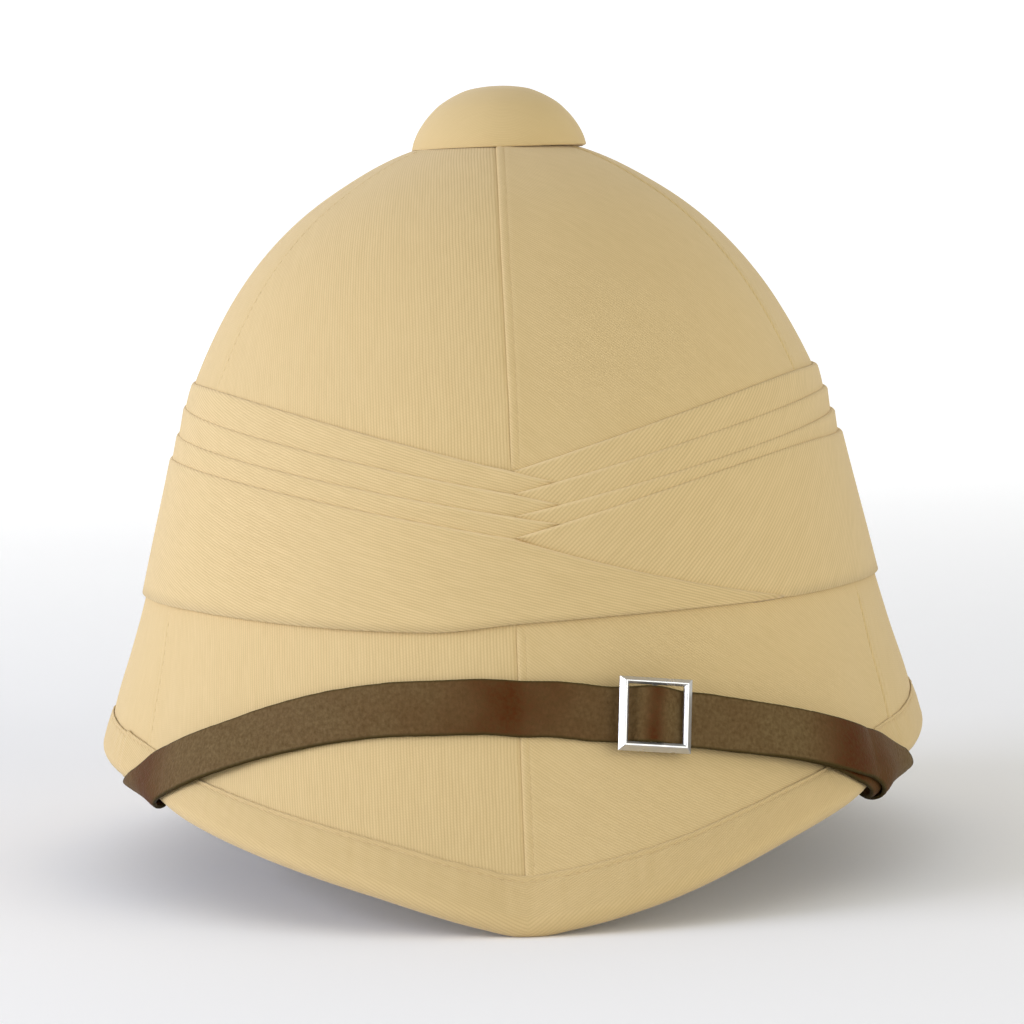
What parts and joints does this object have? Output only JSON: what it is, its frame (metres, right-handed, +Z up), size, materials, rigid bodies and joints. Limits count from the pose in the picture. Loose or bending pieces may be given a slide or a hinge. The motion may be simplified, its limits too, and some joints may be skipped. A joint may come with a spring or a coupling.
{
  "type": "pith sun helmet",
  "caption": "Cloth-covered domed sun helmet with a sloping brim, pleated wound band, bound rim and leather chin strap with a slide buckle, worn to shade head and neck.",
  "frame": {"origin": "centre of the bounding box's bottom face, on the surface the helmet rests on", "axes": "+Z up, -Y to the front over the peak, +X to the wearer's left"},
  "size_m": [0.241, 0.3252, 0.2245],
  "materials": {
    "cover_twill": "matte cotton twill glued over the moulded wall",
    "pugaree_twill": "matte cotton twill, folded and pressed",
    "binding_twill": "matte cotton twill cut on the bias",
    "strap_leather": "worn satin brown leather",
    "buckle_nickel": "bright nickel plate with light scratches",
    "stud_brass": "dull brass"
  },
  "bodies": {
    "root": {"shell": "cover_twill", "crown_button": "cover_twill", "pugaree_fold_1": "pugaree_twill", "pugaree_fold_2": "pugaree_twill", "pugaree_fold_3": "pugaree_twill", "pugaree_band": "pugaree_twill", "brim_binding": "binding_twill", "chin_strap": "strap_leather", "buckle_strap": "strap_leather", "strap_buckle": "buckle_nickel", "strap_stud_left": "stud_brass", "strap_stud_right": "stud_brass"}
  },
  "joints": []
}
